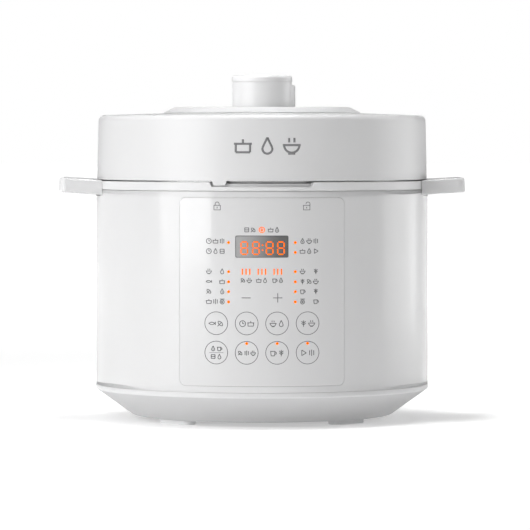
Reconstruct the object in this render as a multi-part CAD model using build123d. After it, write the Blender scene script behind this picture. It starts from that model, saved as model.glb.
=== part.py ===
from build123d import *
import os
from math import cos, radians, sin, sqrt

# Electric pressure cooker, in millimetres. The origin is on the pot's axis, level with the soles of the
# feet. +Z is up, the control panel faces -Y and the user's right is +X.

# Driving dimensions: casing
body_r = 145.0              # outside radius of the round casing
wall = 2.5                  # plastic wall
foot_height = 3.5
pan_flat_r = 112.5          # where the flat bottom would meet the cone
pan_cone_top = (144.5, 26.5)
shell_low = 31.0
shell_high = 200.5
ring_high = 208.2
ring_r = 144.8
clear = 0.3                 # gap between neighbours that move apart

# Driving dimensions: carrying ears
ear_reach = 175.7           # from the axis to an ear's tip
ear_half_width = 44.5
ear_thick = 12.7
ear_tilt = 3.5              # degrees, rising outwards
ear_mid_z = 202.8           # middle of the ear's thickness where it leaves the ring

# Driving dimensions: pots and heater
pot_r = 108.0               # inside of the removable pot
pot_wall = 2.0
pot_low = 62.0              # underside of the removable pot
pot_rim_z = 205.4
vessel_r = 113.0            # inside of the fixed steel vessel
vessel_wall = 1.2
vessel_low = 34.8
vessel_rim_z = 203.0
lug_r = 129.0
lug_span = 30.0             # degrees
lug_count = 6
heater_r = 95.0

# Driving dimensions: lid
lid_low = 209.2
lid_r_low = 144.2
lid_r_high = 142.7
lid_edge_z = 264.7
plateau_r_low = 87.0
plateau_z_low = 266.7
plateau_r_high = 76.6
plateau_z_high = 271.9
knob_r = 26.0
knob_seam_z = 294.0
total_height = 299.6
claw_span = 25.0            # degrees
pointer_azimuth = -14.4     # degrees from the front towards the user's right
valve_x = 13.6
valve_y = 52.0
valve_r = 16.0
valve_top_z = 292.0
float_x = -16.0
float_y = 50.0

# Driving dimensions: control panel, with sideways places given along the chord
panel_half = 69.4
panel_low = 36.5
panel_high = 195.1
panel_corner = 5.0
window_half = 22.1
window_low = 145.1
window_high = 163.2
key_columns = (-38.4, -12.8, 12.8, 38.4)
key_rows = (89.9, 65.3)
step_key_x = 13.3
step_key_z = 111.1
dot_r = 1.2
left_dots = [(-28.0, z) for z in (157.5, 133.0, 124.5, 116.2, 107.6)]
right_dots = [(28.0, z) for z in (157.5, 149.2, 133.0, 124.5, 116.2, 107.6)]
key_dots = [(x, key_rows[1] + 7.8) for x in key_columns[1:]]
dots = left_dots + right_dots + key_dots

# Driving dimensions: rear
inlet_z = 55.0
inlet_y = 147.5
spout_z = 191.6
spout_r = 4.0

os.makedirs("parts", exist_ok=True)


def save(shape, name):
    """Write one sub-part."""
    export_step(shape, f"parts/{name}.step")


def section(points, rounds=()):
    """Closed outline through the points, with each (corner number, radius) in rounds rounded."""
    face = make_face(Polyline(*points, close=True))
    for corner, radius in rounds:
        spot = Vector(*points[corner])
        vertex = face.vertices().sort_by_distance(spot)[0]
        face = fillet(vertex, radius)
    return face


def turned(points, rounds=()):
    """Solid of revolution about Z from (radius, height) points."""
    return revolve(Plane.XZ * section(points, rounds), Axis.Z)


def sector(points, azimuth, span):
    """Like turned, but only a span of degrees about an azimuth measured from +X."""
    slice_ = revolve(Plane.XZ * section(points), Axis.Z, revolution_arc=span)
    return Rot(0, 0, azimuth - span / 2) * slice_


def disc(radius, low, high, x=0.0, y=0.0):
    """Upright cylinder between two heights."""
    return Pos(x, y, (low + high) / 2) * Cylinder(radius, high - low)


def tube(inner, outer, low, high, x=0.0, y=0.0):
    """Upright tube between two heights."""
    return disc(outer, low, high, x, y) - disc(inner, low, high, x, y)


def block(x0, x1, y0, y1, z0, z1):
    """Box between two corners."""
    centre = Pos((x0 + x1) / 2, (y0 + y1) / 2, (z0 + z1) / 2)
    return centre * Box(x1 - x0, y1 - y0, z1 - z0)


def rod_y(radius, x, z, y0, y1):
    """Cylinder along Y."""
    return Pos(x, (y0 + y1) / 2, z) * Rot(90, 0, 0) * Cylinder(radius, y1 - y0)


def group(shapes):
    """Several separate solids as one sub-part."""
    return Compound(children=[solid for shape in shapes for solid in shape.solids()])


def polar(radius, azimuth):
    """Point on a circle, azimuth in degrees from +X."""
    return radius * cos(radians(azimuth)), radius * sin(radians(azimuth))


def front_prism(outline):
    """An outline drawn as seen from the front, pushed from the axis out through the casing."""
    return extrude(Plane.XZ * outline, 160)


# Base pan: moulded bottom housing, a shallow cone under the casing with a lip and a locating spigot
cone_slope = (pan_cone_top[1] - foot_height) / (pan_cone_top[0] - pan_flat_r)
inner_floor_z = foot_height + wall
spigot_r = body_r - wall - 0.2
spigot_in = spigot_r - 2.4
cone_drop = wall * sqrt(1 + cone_slope ** 2)
inner_flat_r = pan_flat_r + (inner_floor_z - foot_height - cone_drop) / cone_slope
spigot_foot_z = foot_height + cone_drop + (spigot_in - pan_flat_r) * cone_slope
plate_r = 68.0
pan_points = [
    (plate_r, foot_height),
    (pan_flat_r, foot_height),
    pan_cone_top,
    (body_r + 0.2, pan_cone_top[1] + 0.5),
    (body_r + 0.2, shell_low),
    (spigot_r, shell_low),
    (spigot_r, shell_low + 4),
    (spigot_in, shell_low + 4),
    (spigot_in, spigot_foot_z),
    (inner_flat_r, inner_floor_z),
    (plate_r + 2, inner_floor_z),
    (plate_r + 2, inner_floor_z + 2),
    (plate_r - 10, inner_floor_z + 2),
    (plate_r - 10, foot_height + 2),
    (plate_r, foot_height + 2),
]
base_pan = turned(pan_points, [(1, 10.0)])
base_screw_places = [polar(85, azimuth) for azimuth in (90, 210, 330)]
for x, y in base_screw_places:
    base_pan += disc(5.5, inner_floor_z, vessel_low, x, y)
    base_pan -= disc(2.0, foot_height, vessel_low, x, y)
    base_pan -= disc(4.0, foot_height, inner_floor_z - 1, x, y)
board_z = 14.0
board_posts = [(x, y) for x in (-41, 41) for y in (-94, -50)]
for x, y in board_posts:
    base_pan += disc(3.0, inner_floor_z, board_z, x, y)
foot_places = [polar(102, azimuth) for azimuth in (45, 135, 225, 315)]
for x, y in foot_places:
    base_pan -= disc(3.0, foot_height, inner_floor_z, x, y)
plate_screw_places = [polar(plate_r - 5, azimuth) for azimuth in (45, 135, 225, 315)]
for x, y in plate_screw_places:
    base_pan -= disc(1.5, foot_height, inner_floor_z + 2, x, y)
save(base_pan, "base_pan")

# Base screws: join the pan's bosses to the underside of the steel vessel
base_screws = []
for x, y in base_screw_places:
    base_screws.append(disc(4.0, foot_height + 0.2, inner_floor_z - 1, x, y) +
                       disc(2.0, inner_floor_z - 1, vessel_low, x, y))
save(group(base_screws), "base_screws")

# Bottom plate: vented service cover let into the pan, and its four screws
bottom_plate = disc(plate_r - 0.3, foot_height, foot_height + 2)
for turn in range(0, 360, 30):
    vent = extrude(SlotOverall(22, 4), 2)
    bottom_plate -= Rot(0, 0, turn + 15) * Pos(34, 0, foot_height) * vent
plate_screws = []
for x, y in plate_screw_places:
    head = disc(3.0, foot_height + 0.2, foot_height + 1.4, x, y)
    bottom_plate -= disc(3.0, foot_height, foot_height + 1.4, x, y)
    bottom_plate -= disc(1.5, foot_height, foot_height + 2, x, y)
    plate_screws.append(head + disc(1.5, foot_height + 1.4, inner_floor_z + 2, x, y))
save(bottom_plate, "bottom_plate")
save(group(plate_screws), "bottom_plate_screws")

# Feet: four stadium-shaped rubber pads, each with a stem pressed into the pan
feet = []
for azimuth in (45, 135, 225, 315):
    pad = extrude(SlotOverall(38, 14), foot_height)
    pad = chamfer(pad.edges().group_by(Axis.Z)[0], 0.8)
    pad += disc(3.0, foot_height, inner_floor_z + 2)
    feet.append(Rot(0, 0, azimuth) * Pos(102, 0, 0) * Rot(0, 0, 90) * pad)
save(group(feet), "feet")

# Outer shell: the round casing, open at the panel, the mains inlet and the drain spout
panel_outline = Pos(0, (panel_low + panel_high) / 2) * RectangleRounded(
    2 * panel_half, panel_high - panel_low, panel_corner)
window_outline = Pos(0, (window_low + window_high) / 2) * RectangleRounded(
    2 * window_half, window_high - window_low, 1.1)
panel_gap = 0.25
panel_hole = Pos(0, (panel_low + panel_high) / 2) * RectangleRounded(
    2 * (panel_half + panel_gap), panel_high - panel_low + 2 * panel_gap, panel_corner + panel_gap)
inlet_half = 26.0
inlet_rise = 15.0
outer_shell = tube(body_r - wall, body_r, shell_low, shell_high)
outer_shell -= front_prism(panel_hole)
outer_shell -= block(-inlet_half - 0.1, inlet_half + 0.1, 100, 160,
                     inlet_z - inlet_rise - 0.1, inlet_z + inlet_rise + 0.1)
outer_shell -= rod_y(spout_r, 0, spout_z, 120, 160)
save(outer_shell, "outer_shell")

# Rim ring: caps the shell, catches condensate in a trough and carries both ears
trough_r = 134.5
trough_z = 189.0
trough_in = vessel_r + vessel_wall + 0.2
ring_points = [
    (trough_r, ring_high),
    (ring_r - 0.7, ring_high),
    (ring_r, ring_high - 0.7),
    (ring_r, shell_high),
    (spigot_r, shell_high),
    (spigot_r, shell_high - 5),
    (spigot_in, shell_high - 5),
    (spigot_in, ring_high - wall),
    (trough_r + wall, ring_high - wall),
    (trough_r + wall, trough_z - wall),
    (trough_in, trough_z - wall),
    (trough_in, trough_z),
    (trough_r, trough_z),
]
rim_ring = turned(ring_points)
recess_half = 17.7
recess_z = ring_high - 3.8
recess_run = 1.8                # each sloped end of the recess, along the front
recess_x = ring_r * sin(radians(recess_half))
recess = front_prism(section([
    (-recess_x, ring_high + 1),
    (-recess_x, ring_high),
    (recess_run - recess_x, recess_z),
    (recess_x - recess_run, recess_z),
    (recess_x, ring_high),
    (recess_x, ring_high + 1),
]))
rim_ring -= recess - disc(spigot_in - 0.4, recess_z - 5, ring_high + 5)


def tilted_slab(x0, x1, half_width, low, high, corner):
    """Slab of the right-hand ear, its heights measured from the ear's middle, tilted with the ear."""
    plan = Pos((x0 + x1) / 2, 0) * RectangleRounded(x1 - x0, 2 * half_width, corner)
    slab = Pos(-ring_r, 0, low) * extrude(plan, high - low)
    return Pos(ring_r, 0, ear_mid_z) * Rot(0, -ear_tilt, 0) * slab


ear_core = turned([(0, 150), (body_r, 150), (body_r, shell_high), (spigot_r - 1, shell_high),
                   (spigot_r - 1, ring_high - 1.5), (body_r + 0.2, ring_high - 1.5),
                   (body_r + 0.2, 250), (0, 250)])
ear = tilted_slab(110, ear_reach, ear_half_width, -ear_thick / 2, ear_thick / 2, 7.0)
ear = fillet(ear.faces().sort_by(Axis.Z)[-1].edges(), 1.2)
ear -= tilted_slab(148.5, ear_reach - wall, ear_half_width - wall, -ear_thick, ear_thick / 2 - wall, 5.0)
ear -= ear_core
rim_ring += ear
rim_ring += Rot(0, 0, 180) * ear
rim_ring -= rod_y(spout_r, 0, spout_z, 120, 160)
ring_screw_places = [polar(118, azimuth) for azimuth in range(0, 360, 60)]
for x, y in ring_screw_places:
    rim_ring -= disc(1.6, trough_z - wall, trough_z, x, y)
save(rim_ring, "rim_ring")

# Handle caps: close the hollow underside of each ear
cap = tilted_slab(149.0, ear_reach - wall - 0.2, ear_half_width - wall - 0.2,
                  -ear_thick / 2, -ear_thick / 2 + 2.0, 4.8)
save(group([cap, Rot(0, 0, 180) * cap]), "handle_caps")

# Control panel: curved glossy plate, flush with the shell, with a display window and lit dots
plate_band = tube(body_r - wall, body_r, panel_low - 5, panel_high + 5)
control_panel = front_prism(panel_outline) & plate_band
control_panel -= front_prism(window_outline)
dot_holes = [rod_y(dot_r, x, z, -160, -100) for x, z in dots]
for hole in dot_holes:
    control_panel -= hole
save(control_panel, "control_panel")
save(front_prism(window_outline) & plate_band, "display_lens")
save(group([hole & plate_band for hole in dot_holes]), "indicator_lenses")

# Panel carrier: curved frame behind the plate, with windows for what shines or senses through it
carrier_out = body_r - wall - 0.1
carrier_in = carrier_out - 2.2
board_front_y = -122.6
keys = [(x, z) for x in key_columns for z in key_rows]
keys += [(-step_key_x, step_key_z), (step_key_x, step_key_z)]
carrier_outline = Pos(0, (panel_low + panel_high) / 2) * RectangleRounded(
    2 * panel_half + 6, panel_high - panel_low - 3, panel_corner)
panel_carrier = front_prism(carrier_outline) & tube(carrier_in, carrier_out, 30, 198)
for x in (-42, 42):
    for z in (54, 180):
        post = rod_y(3.0, x, z, -carrier_out, board_front_y)
        panel_carrier += post & disc(carrier_out, 30, 198)
panel_carrier -= block(-25, 25, -150, -130, window_low - 3, window_high + 3)
for x, z in dots:
    panel_carrier -= rod_y(1.8, x, z, -150, -125)
for x, z in keys:
    panel_carrier -= rod_y(5.0, x, z, -150, -125)
save(panel_carrier, "panel_carrier")

# Control board with its display, the touch electrodes and the light guides behind the dots
control_board = block(-46, 46, board_front_y, board_front_y + 1.6, 48, 186)
save(control_board, "control_board")
display_module = block(-24, 24, -137.5, board_front_y, window_low - 2, window_high + 2)
save(display_module, "display_module")
inside_panel = disc(carrier_out, 30, 198)
touch_springs = []
for x, z in keys:
    spring = rod_y(4.0, x, z, -150, board_front_y) - rod_y(2.8, x, z, -150, board_front_y)
    touch_springs.append(spring & inside_panel)
save(group(touch_springs), "touch_springs")
light_guides = [rod_y(1.5, x, z, -150, board_front_y) & inside_panel for x, z in dots]
save(group(light_guides), "light_guides")

# Power board with its transformer, relay and smoothing capacitor, on posts in the pan
board_top = board_z + 1.6
save(block(-46, 46, -99, -45, board_z, board_top), "power_board")
save(block(-42, -18, -92, -62, board_top, 31), "transformer")
save(block(20, 40, -92, -72, board_top, 31), "relay")

# Ribbon cable: from the power board up to the control board
ribbon_cable = block(-10, 10, -118, -97, board_top, board_top + 1)
ribbon_cable += block(-10, 10, -119, -118, board_top, 55)
ribbon_cable += block(-10, 10, board_front_y + 1.6, -118, 54, 55)
save(ribbon_cable, "ribbon_cable")

# Outer pot: the fixed pressed-steel vessel, with a bead that rests in the trough and six locking lugs
vessel_out = vessel_r + vessel_wall
flange_r = 121.0
vessel_points = [
    (20, vessel_low),
    (vessel_out - 9, vessel_low),
    (vessel_out, vessel_low + 9),
    (vessel_out, trough_z),
    (flange_r + 1, trough_z),
    (flange_r + 1, trough_z + 1.5),
    (vessel_out, trough_z + 1.5),
    (vessel_out, vessel_rim_z - 3),
    (flange_r, vessel_rim_z - 3),
    (flange_r, vessel_rim_z),
    (vessel_r, vessel_rim_z),
    (vessel_r, vessel_low + 9.5),
    (vessel_out - 9.5, vessel_low + vessel_wall),
    (20, vessel_low + vessel_wall),
]
outer_pot = turned(vessel_points)
lug_points = [
    (flange_r - 2, vessel_rim_z - 3),
    (lug_r, vessel_rim_z - 3),
    (lug_r, vessel_rim_z),
    (flange_r - 2, vessel_rim_z),
]
for number in range(lug_count):
    outer_pot += sector(lug_points, 360 / lug_count * number, lug_span)
element_r = 70.0
terminal_places = [polar(element_r, azimuth) for azimuth in (-100, -80)]
for x, y in terminal_places:
    outer_pot -= disc(4.5, vessel_low, vessel_low + 2, x, y)
for x, y in ring_screw_places:
    outer_pot -= disc(1.6, trough_z, trough_z + 2, x, y)
save(outer_pot, "outer_pot")

# Screws that clamp the vessel's bead to the trough floor
ring_screws = []
for x, y in ring_screw_places:
    ring_screws.append(disc(2.8, trough_z + 1.5, trough_z + 3.2, x, y) +
                       disc(1.6, trough_z - 6, trough_z + 1.5, x, y))
save(group(ring_screws), "outer_pot_screws")

# Heating plate: cast aluminium disc with a ring element underneath, standing on three posts
heater_top = pot_low - clear
heater_low = 47.0
heater_points = [(18.5, heater_low), (heater_r, heater_low), (heater_r, heater_top - 3),
                 (heater_r - 4, heater_top), (18.5, heater_top)]
ring_element = turned([
    (element_r - 4.5, heater_low - 4),
    (element_r + 4.5, heater_low - 4),
    (element_r + 4.5, heater_low + 4),
    (element_r - 4.5, heater_low + 4),
], [(0, 2.5), (1, 2.5), (2, 2.5), (3, 2.5)])
heating_element = ring_element
for x, y in terminal_places:
    heating_element += disc(3.2, 27, heater_low + 2, x, y)
save(heating_element, "heating_element")
save(turned(heater_points) - heating_element, "heating_plate")
vessel_floor = vessel_low + vessel_wall
heater_posts = [disc(5.0, vessel_floor, heater_low, *polar(50, azimuth)) for azimuth in (30, 150, 270)]
save(group(heater_posts), "heater_posts")
save(group([disc(1.5, board_top, 27, x, y) for x, y in terminal_places]), "heater_leads")

# Pot sensor: a sprung aluminium cap in the middle of the heater, with a stem in a guide bracket
stem_r = 4.0
sensor_r = 17.0
sensor_cap = turned([(0, heater_top), (sensor_r - 1.5, heater_top), (sensor_r, heater_top - 1.5),
                     (sensor_r, 42), (sensor_r - 1.5, 42), (sensor_r - 1.5, heater_top - 4),
                     (stem_r, heater_top - 4), (stem_r, 28), (0, 28)])
save(sensor_cap, "sensor_cap")
save(tube(8, 10, vessel_low, heater_top - 4), "sensor_spring")
save(tube(stem_r + 0.05, 28, vessel_low - 1.6, vessel_low), "sensor_bracket")

# Safety parts clipped under the vessel
save(Pos(40, 25, vessel_low - 3) * Rot(90, 0, 0) * Cylinder(3.0, 16), "thermal_fuse")
save(block(-56, -36, 18, 32, vessel_low - 11, vessel_low), "pressure_switch")

# Mains inlet: three-blade socket in a flat boss on the curved rear wall, with two screws
boss_in_y = 137.0
inlet_back_y = 121.0
inlet_housing = block(-inlet_half, inlet_half, boss_in_y, inlet_y, inlet_z - inlet_rise, inlet_z + inlet_rise)
inlet_housing = fillet(inlet_housing.edges().filter_by(Axis.Y), 4.0)
inlet_housing += block(-13.5, 13.5, inlet_back_y, boss_in_y, inlet_z - 10, inlet_z + 10)
socket_outline = section([(-12, -8), (12, -8), (12, 3), (7, 8), (-7, 8), (-12, 3)])
socket = Pos(0, 0, inlet_z) * extrude(Plane.XZ * socket_outline, -160)
inlet_housing -= socket - block(-50, 50, -10, inlet_back_y + 2.5, 0, 120)
blade_places = [(-7, inlet_z - 2), (7, inlet_z - 2), (0, inlet_z + 2)]
inlet_pins = []
for x, z in blade_places:
    blade = block(x - 1, x + 1, inlet_back_y, inlet_back_y + 19, z - 2, z + 2)
    inlet_housing -= blade
    inlet_pins.append(blade)
inlet_screws = []
for x in (-20, 20):
    screw = rod_y(3.2, x, inlet_z, inlet_y - 1.6, inlet_y - 0.2)
    screw += rod_y(1.6, x, inlet_z, boss_in_y, inlet_y - 1.6)
    inlet_housing -= rod_y(3.2, x, inlet_z, inlet_y - 1.6, inlet_y)
    inlet_housing -= rod_y(1.6, x, inlet_z, boss_in_y, inlet_y)
    inlet_screws.append(screw)
save(inlet_housing, "inlet_housing")
save(group(inlet_pins), "inlet_pins")
save(group(inlet_screws), "inlet_screws")

# Mains leads: three insulated wires from the inlet under the vessel to the power board
lead_r = 1.2
mains_leads = []
for x, z in blade_places:
    route = FilletPolyline((x, inlet_back_y, z), (x, 117.6, z), (x, 117.6, 24), (x + 25, 92, 24),
                           (x + 25, -52, 24), (x + 25, -52, board_top), radius=1.6)
    profile = Plane(origin=(x, inlet_back_y, z), z_dir=(0, -1, 0)) * Circle(lead_r)
    mains_leads.append(sweep(profile, path=route))
save(group(mains_leads), "mains_leads")

# Drain spout: carries condensate from the trough, through the ring and shell, to the cup
save(rod_y(spout_r, 0, spout_z, 133, 158) - rod_y(spout_r - 1, 0, spout_z, 133, 158), "drain_spout")

# Condensate cup and the bracket that it slides off towards the rear
bracket_y = 148.0
cup_half = 30.0
cup_top = 185.5
rail_z = 176.0
cup_bracket = block(-36, 36, 136, bracket_y, 150, 186) - disc(body_r, 140, 190)
for side in (-1, 1):
    arm = block(33, 36, bracket_y - 2, 164, rail_z, 186)
    arm += block(31, 36, bracket_y - 2, 164, rail_z, rail_z + 2)
    cup_bracket += arm if side > 0 else mirror(arm, Plane.YZ)
save(cup_bracket, "cup_bracket")
cup_front = bracket_y + 0.4
cup_back = 174.0
cup = block(-cup_half, cup_half, cup_front, cup_back, 132, cup_top)
cup = fillet(cup.edges().filter_by(Axis.Z), 5.0)
cup = fillet(cup.edges().group_by(Axis.Z)[0], 3.0)
hollow = block(-cup_half + 1.8, cup_half - 1.8, cup_front + 1.8, cup_back - 1.8, 133.8, cup_top + 1)
cup -= fillet(hollow.edges().filter_by(Axis.Z), 3.2)
rib = block(cup_half - 0.5, 32.6, cup_front + 6, 163, rail_z + 2 + clear, rail_z + 4.5)
cup += rib + mirror(rib, Plane.YZ)
save(cup, "water_cup")

# Inner pot: removable cooking pot with a rolled rim
pot_out = pot_r + pot_wall
rim_out = 117.0
inner_pot = turned([
    (0, pot_low),
    (pot_out, pot_low),
    (pot_out, pot_rim_z - pot_wall),
    (rim_out, pot_rim_z - pot_wall),
    (rim_out, pot_rim_z),
    (pot_r, pot_rim_z),
    (pot_r, pot_low + pot_wall),
    (0, pot_low + pot_wall),
], [(1, 14.0), (5, 1.5), (6, 12.0)])
save(inner_pot, "inner_pot")

# Inner lid: aluminium plate carried on the lid's centre stud by a rubber grommet, edged by the seal
seal_low = pot_rim_z + clear
plate_z = 209.5
stud_r = 4.0
inner_lid_plate = turned([
    (9, plate_z + 5),
    (60, plate_z + 5),
    (92, plate_z),
    (112, plate_z),
    (112, plate_z + 1.5),
    (92.5, plate_z + 1.5),
    (60.5, plate_z + 6.5),
    (9, plate_z + 6.5),
])
for azimuth in range(0, 360, 60):
    inner_lid_plate -= disc(4.0, plate_z, plate_z + 8, *polar(48, azimuth + 30))
save(inner_lid_plate, "inner_lid_plate")
sealing_ring = turned([
    (107, seal_low),
    (118, seal_low),
    (119, seal_low + 7.5),
    (107, seal_low + 7.5),
    (107, plate_z + 1.5),
    (112, plate_z + 1.5),
    (112, plate_z),
    (107, plate_z),
], [(1, 1.5), (2, 1.5)])
save(sealing_ring, "sealing_ring")
centre_grommet = turned([
    (stud_r + 0.05, plate_z + 3),
    (13, plate_z + 3),
    (13, plate_z + 5),
    (9, plate_z + 5),
    (9, plate_z + 6.5),
    (13, plate_z + 6.5),
    (13, plate_z + 8.5),
    (stud_r + 0.05, plate_z + 8.5),
])
save(centre_grommet, "centre_grommet")

# Pressure lid: pressed-steel dome with a skirt and six claws that lock under the vessel's lugs
skirt_in = 131.0
skirt_out = 133.0
claw_top = vessel_rim_z - 3 - 0.8
claw_low = claw_top - 3.0
dome_z = 230.0
pressure_lid = turned([
    (stud_r, dome_z),
    (60, dome_z - 2),
    (100, dome_z - 8),
    (127, 217),
    (skirt_in, 213),
    (skirt_in, claw_low),
    (skirt_out, claw_low),
    (skirt_out, 214),
    (128, 219),
    (100.5, dome_z - 6),
    (60.2, dome_z),
    (stud_r, dome_z + 2),
])
claw_points = [(flange_r + 1.5, claw_low), (skirt_in + 0.5, claw_low),
               (skirt_in + 0.5, claw_top), (flange_r + 1.5, claw_top)]
for number in range(lug_count):
    pressure_lid += sector(claw_points, 360 / lug_count * number, claw_span)
pressure_lid -= disc(4.0, dome_z - 15, dome_z + 5, valve_x, valve_y)
pressure_lid -= disc(5.0, dome_z - 15, dome_z + 5, float_x, float_y)
lid_screw_places = [polar(108, azimuth) for azimuth in (30, 90, 150, 210, 270, 330)]
for x, y in lid_screw_places:
    pressure_lid -= disc(2.0, 210, 235, x, y)
save(pressure_lid, "pressure_lid")

# Lid cover: moulded top casing with a turned-in lower edge, screw bosses and the lock pointer
cover_points = [
    (lid_r_low - wall, lid_low),
    (lid_r_low, lid_low),
    (lid_r_low, lid_low + 2.2),
    (lid_r_high, lid_edge_z),
    (plateau_r_low, plateau_z_low),
    (plateau_r_low - 6, plateau_z_low),
    (plateau_r_low - 6, plateau_z_low - wall),
    (lid_r_high - wall, lid_edge_z - wall),
]
lid_cover = turned(cover_points, [(3, 5.0), (7, 3.0)])
boss_foot = 227.0
for x, y in lid_screw_places:
    lid_cover += disc(4.5, boss_foot, lid_edge_z - 1.0, x, y)
    lid_cover -= disc(2.0, boss_foot, boss_foot + 14, x, y)
pointer_top = 6.5
pointer_tip = 4.75
pointer_drop = 3.8
pointer = front_prism(section([
    (-pointer_top, lid_low + 1),
    (-pointer_top, lid_low),
    (-pointer_tip, lid_low - pointer_drop),
    (pointer_tip, lid_low - pointer_drop),
    (pointer_top, lid_low),
    (pointer_top, lid_low + 1),
]))
pointer = pointer & tube(lid_r_low - wall, lid_r_low, lid_low - 6, lid_low + 2)
lid_cover += Rot(0, 0, pointer_azimuth) * pointer
save(lid_cover, "lid_cover")

# Lid screws: through the dome's rim into the cover's bosses
lid_screws = []
for x, y in lid_screw_places:
    lid_screws.append(disc(3.6, 217.5, 219.5, x, y) + disc(2.0, 219.5, boss_foot + 12, x, y))
save(group(lid_screws), "lid_screws")

# Lid top plate: bevelled plateau in the middle of the cover, pierced for the knob stud and both valves
lid_top_plate = turned([
    (stud_r + 1, plateau_z_high - wall),
    (plateau_r_high - 1, plateau_z_high - wall),
    (plateau_r_low - 5.5, plateau_z_low + 0.1),
    (plateau_r_low, plateau_z_low + 0.1),
    (plateau_r_high, plateau_z_high),
    (stud_r + 1, plateau_z_high),
], [(4, 3.0)])
lid_top_plate -= disc(8.0, 260, 280, valve_x, valve_y)
lid_top_plate -= disc(4.6, 260, 280, float_x, float_y)
save(lid_top_plate, "lid_top_plate")

# Knob: hollow grip with a pressed-on cap, held by a nut on the centre stud
knob = turned([
    (stud_r, plateau_z_high),
    (knob_r, plateau_z_high),
    (knob_r, knob_seam_z),
    (knob_r - 3, knob_seam_z),
    (knob_r - 3, plateau_z_high + 4),
    (stud_r, plateau_z_high + 4),
])
save(knob, "knob")
cap_r = knob_r + 0.5
knob_cap = turned([
    (0, knob_seam_z + 2),
    (knob_r - 6, knob_seam_z + 2),
    (knob_r - 6, knob_seam_z - 4),
    (knob_r - 3.1, knob_seam_z - 4),
    (knob_r - 3.1, knob_seam_z + 0.1),
    (cap_r, knob_seam_z + 0.1),
    (cap_r, total_height),
    (0, total_height),
], [(6, 2.6)])
save(knob_cap, "knob_cap")

# Centre stud with its shoulder, and the nut inside the knob
shoulder_top = plateau_z_high - wall
lid_stud = disc(stud_r, plate_z + 1, 284)
lid_stud += disc(7.0, dome_z + 2, shoulder_top)
lid_stud += disc(6.0, plate_z - 1.5, plate_z + 2.5)
save(lid_stud, "lid_stud")
nut_low = plateau_z_high + 4
lid_nut = Pos(0, 0, nut_low) * extrude(RegularPolygon(7.5, 6), 6)
lid_nut -= disc(stud_r, nut_low, nut_low + 6)
save(lid_nut, "lid_nut")

# Exhaust pipe: steam outlet welded into the dome, with a shoulder that carries the release valve
pipe = disc(4.0, 226, 276, valve_x, valve_y)
pipe += disc(6.5, dome_z + 2.4, 262, valve_x, valve_y)
pipe -= disc(1.6, 226, 276, valve_x, valve_y)
save(pipe, "exhaust_pipe")

# Anti-clog shield: small pierced cup under the pipe's mouth
shield_top = 226.0
shield = Pos(valve_x, valve_y, 0) * turned([(0, 219), (11, 219), (11, shield_top), (9.8, shield_top),
                                            (9.8, 220.2), (0, 220.2)])
for azimuth in range(0, 360, 45):
    shield -= Pos(valve_x, valve_y, 0) * disc(1.2, 218, 222, *polar(6, azimuth))
save(shield, "anti_clog_shield")

# Steam release valve: a weighted cap standing on the pipe, turned by its grip tab
cap_low = plateau_z_high + 0.8
valve_bore = 4.1
steam_valve_cap = turned([
    (valve_bore + 2.5, cap_low),
    (valve_r, cap_low),
    (valve_r, valve_top_z),
    (0, valve_top_z),
    (0, valve_top_z - 2.5),
    (valve_r - 2.5, valve_top_z - 2.5),
    (valve_r - 2.5, cap_low + 2.5),
    (valve_bore + 2.5, cap_low + 2.5),
], [(2, 2.0)])
steam_valve_cap += block(-4, 4, valve_r - 2, valve_r + 9, valve_top_z - 9, valve_top_z - 3)
save(Pos(valve_x, valve_y, 0) * steam_valve_cap, "steam_valve_cap")
weight = turned([
    (valve_bore, cap_low + 1.0),
    (valve_bore + 2.3, cap_low + 1.0),
    (valve_bore + 2.3, cap_low + 2.7),
    (valve_r - 2.8, cap_low + 2.7),
    (valve_r - 2.8, valve_top_z - 2.7),
    (0, valve_top_z - 2.7),
    (0, 276.6),
    (valve_bore, 276.6),
])
save(Pos(valve_x, valve_y, 0) * weight, "steam_valve_weight")

# Float valve: pin that rises under pressure, its guide bush and its silicone seal
pin_r = 3.0
float_guide = tube(pin_r + 0.05, 5.0, dome_z - 1.5, 240, float_x, float_y)
float_guide += tube(pin_r + 0.05, 8.0, dome_z + 2.2, dome_z + 4.5, float_x, float_y)
save(float_guide, "float_guide")
float_pin = disc(pin_r, 222, plateau_z_high - 0.5, float_x, float_y)
float_pin += disc(4.4, 246, plateau_z_high - 0.5, float_x, float_y)
float_pin += disc(6.0, 220, 222, float_x, float_y)
float_pin += disc(pin_r, 218.5, 220, float_x, float_y)
save(float_pin, "float_pin")
save(tube(pin_r, 6.0, 222, 223.5, float_x, float_y), "float_seal")

# Lid sensor: magnet under the cover's edge and the switch under the ring's lip that feels it
magnet_azimuth = -90 + 40
magnet_x, magnet_y = polar(138.5, magnet_azimuth)
save(Pos(magnet_x, magnet_y, 215) * Rot(0, 0, magnet_azimuth) * Box(3.5, 10, 6), "lid_magnet")
switch_x, switch_y = polar(138.4, magnet_azimuth)
save(Pos(switch_x, switch_y, 199) * Rot(0, 0, magnet_azimuth) * Box(2.2, 10, 8), "lid_switch")
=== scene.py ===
import bmesh
import bpy
import numpy as np
from mathutils import Matrix, Vector


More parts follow.
